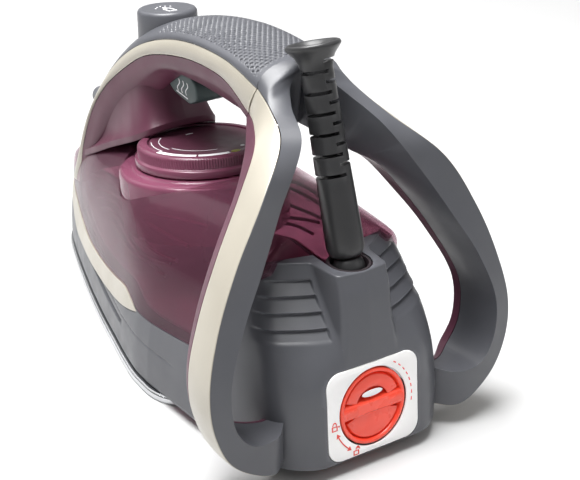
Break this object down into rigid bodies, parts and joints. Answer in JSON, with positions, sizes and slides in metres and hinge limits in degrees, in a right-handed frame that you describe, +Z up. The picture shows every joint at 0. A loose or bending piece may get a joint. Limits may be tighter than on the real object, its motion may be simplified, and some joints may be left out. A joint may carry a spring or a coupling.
{
  "type": "steam iron",
  "caption": "Steam iron with see-through water tank, wishbone handle reaching down to the heel, temperature dial, spray and steam buttons, pull-out scale collector and swivelling cord guard.",
  "frame": {"origin": "on the soleplate's underside, in the middle plane, about halfway along the iron", "axes": "+Y towards the nose, +X to the right when looking towards the nose, +Z up through the handle"},
  "size_m": [0.1584, 0.2695, 0.1777],
  "materials": {
    "chrome_sole": "polished, with a dark line above the edge",
    "cast_aluminium": "as cast",
    "steel": "plain",
    "brass": "turned",
    "grey_plastic": "satin moulded, fine grain; dimpled on the grip",
    "champagne_trim": "satin champagne with fine metallic speckle",
    "plum_plastic": "satin opaque plum",
    "clear_plum": "glossy see-through plum",
    "dark_plastic": "moulded",
    "trigger_plastic": "satin",
    "black_rubber": "soft matt",
    "red_plastic": "satin orange-red",
    "white_label": "printed with plain arrow and lock marks",
    "seal_rubber": "silicone",
    "hose_plastic": "natural"
  },
  "bodies": {
    "base": {"soleplate": "chrome_sole", "sole_casting": "cast_aluminium", "heating_element": "steel", "steam_chamber_lid": "cast_aluminium", "heat_shield": "dark_plastic", "thermostat": "brass", "thermal_fuse": "steel", "skirt": "grey_plastic", "skirt_trim_right": "champagne_trim", "skirt_trim_left": "champagne_trim", "water_tank": "clear_plum", "dial_seat": "clear_plum", "drip_valve": "brass", "handle_shell": "plum_plastic", "grip_cover": "grey_plastic", "fill_duct": "dark_plastic", "handle_trim_right": "champagne_trim", "handle_trim_left": "champagne_trim", "spray_spring": "steel", "spray_pump": "hose_plastic", "spray_nozzle": "grey_plastic", "spray_hose": "hose_plastic", "trigger_pin": "steel", "steam_pump": "hose_plastic", "water_hose": "hose_plastic", "rear_shell": "grey_plastic", "leg_trim_right": "champagne_trim", "leg_trim_left": "champagne_trim", "leg_liner_right": "plum_plastic", "leg_liner_left": "plum_plastic", "rear_cover": "grey_plastic", "heel_base": "dark_plastic", "terminal_block": "hose_plastic", "mains_lead": "black_rubber", "cord_socket": "grey_plastic", "label_plate": "white_label", "collector_housing": "dark_plastic"},
    "dial": {"dial_ring": "clear_plum", "dial_disc": "plum_plastic", "dial_shaft": "dark_plastic"},
    "needle": {"valve_needle": "steel"},
    "spray": {"spray_button": "grey_plastic", "spray_piston": "hose_plastic"},
    "trigger": {"steam_trigger": "trigger_plastic"},
    "steam_plunger": {"steam_piston": "hose_plastic"},
    "door": {"fill_door": "grey_plastic"},
    "collector": {"collector_rod": "red_plastic", "collector_seal": "seal_rubber"},
    "knob": {"collector_knob": "red_plastic"},
    "knuckle": {"cord_knuckle": "black_rubber"},
    "guard": {"cord_guard": "black_rubber"}
  },
  "joints": [
    {"name": "dial_turn", "type": "hinge", "parent": "base", "child": "dial", "pos_m": [0, 0.0238, 0.0987], "axis": [0, 0.1288, 0.9917], "range_deg": [-240, 30]},
    {"name": "needle_lift", "type": "slide", "parent": "base", "child": "needle", "axis": [0, 0, 1], "range_m": [-0.0004, 0.0026]},
    {"name": "spray_press", "type": "slide", "parent": "base", "child": "spray", "axis": [0, -0.1167, -0.9932], "range_m": [0, 0.004], "stiffness_N_per_m": 400, "deforming": ["spray_spring"]},
    {"name": "trigger_pull", "type": "hinge", "parent": "base", "child": "trigger", "pos_m": [0, 0.042, 0.1306], "axis": [-1, 0, 0], "range_deg": [0, 10]},
    {"name": "steam_plunge", "type": "slide", "parent": "base", "child": "steam_plunger", "axis": [0, 0, 1], "range_m": [0, 0.0039]},
    {"name": "door_open", "type": "hinge", "parent": "base", "child": "door", "pos_m": [0, 0.0904, 0.1218], "axis": [1, 0, 0], "range_deg": [0, 65]},
    {"name": "collector_pull", "type": "slide", "parent": "base", "child": "collector", "axis": [0, -0.9905, 0.1374], "range_m": [0, 0.06]},
    {"name": "knob_turn", "type": "hinge", "parent": "collector", "child": "knob", "pos_m": [0, -0.1147, 0.0275], "axis": [0, -0.9905, 0.1374], "range_deg": [0, 60]},
    {"name": "cord_tilt", "type": "hinge", "parent": "base", "child": "knuckle", "pos_m": [0, -0.092, 0.084], "axis": [1, 0, 0], "range_deg": [0, 24]},
    {"name": "cord_swing", "type": "hinge", "parent": "knuckle", "child": "guard", "pos_m": [0, -0.092, 0.084], "axis": [0, 0.9537, -0.3007], "range_deg": [-2.5, 5]}
  ],
  "couplings": [
    {"joint": "needle_lift", "follows": "dial_turn", "m_per_rad": -0.0006},
    {"joint": "steam_plunge", "follows": "trigger_pull", "m_per_rad": 0.022}
  ]
}
